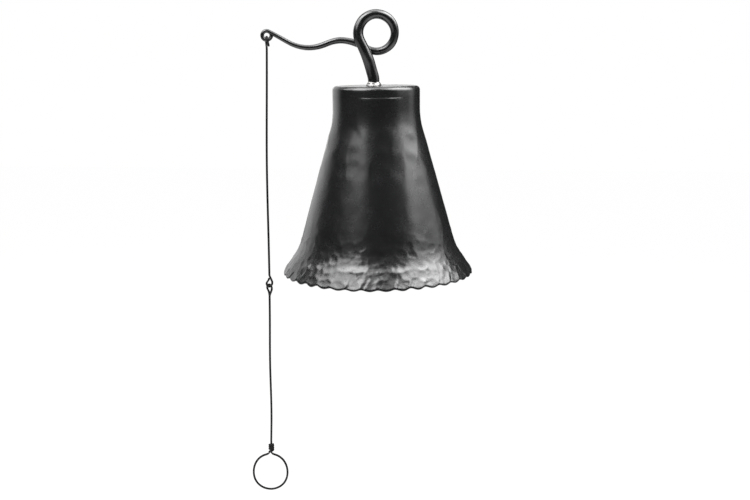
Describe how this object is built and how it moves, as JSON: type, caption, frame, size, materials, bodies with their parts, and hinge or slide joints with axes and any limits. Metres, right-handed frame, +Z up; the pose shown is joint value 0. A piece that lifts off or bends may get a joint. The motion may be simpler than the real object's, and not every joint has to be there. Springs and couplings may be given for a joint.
{
  "type": "wall mounted bell",
  "caption": "Hammered flared iron bell with a lobed lip, hung by a forged pigtail loop, with a side arm and a wire pull that ends in a finger ring.",
  "frame": {"origin": "centre of the hanging loop, which the wall peg or hook passes through", "axes": "+Z up, with the bell hanging at rest, which turns its axis about 1 degree from Z about Y; the side arm and the pull lie towards -X; Y is the axis of the hanging loop, and the front is towards -Y"},
  "size_m": [0.2445, 0.2072, 0.537],
  "materials": {
    "bell_black": "hand-hammered sheet, semi-gloss blackened, with lighter worn patches near the lip",
    "forged_black": "forged bar, satin black",
    "bright_metal": "bare bright metal, roughly faceted",
    "zinc_steel": "zinc plated, dull",
    "cast_black": "turned iron ball, blackened",
    "wire_black": "black annealed wire, satin"
  },
  "bodies": {
    "root": {"bell_shell": "bell_black", "crown_cap": "bell_black", "root_collar": "bright_metal", "hanger_bar": "forged_black", "crown_washer": "zinc_steel", "eye_nut": "zinc_steel"},
    "clapper_link": {"clapper_link": "zinc_steel"},
    "clapper": {"clapper_rod": "forged_black", "clapper_ball": "cast_black"},
    "upper_pull": {"upper_pull_wire": "wire_black"},
    "lower_pull": {"lower_pull_wire": "wire_black"}
  },
  "joints": [
    {"name": "link_swing", "type": "hinge", "parent": "root", "child": "clapper_link", "pos_m": [-0.00096, 0, -0.07853], "axis": [0, 1, 0], "range_deg": [-25.4, 21.7]},
    {"name": "clapper_swing", "type": "hinge", "parent": "clapper_link", "child": "clapper", "pos_m": [-0.00096, 0, -0.09903], "axis": [1, 0, 0], "range_deg": [-6, 6]},
    {"name": "upper_pull_swing", "type": "hinge", "parent": "root", "child": "upper_pull", "pos_m": [-0.11431, 0, -0.0047], "axis": [0, 1, 0], "range_deg": [-3, 60]},
    {"name": "lower_pull_swing", "type": "hinge", "parent": "upper_pull", "child": "lower_pull", "pos_m": [-0.11431, 0, -0.2768], "axis": [0.7071, 0.7071, 0], "range_deg": [-60, 60]}
  ]
}
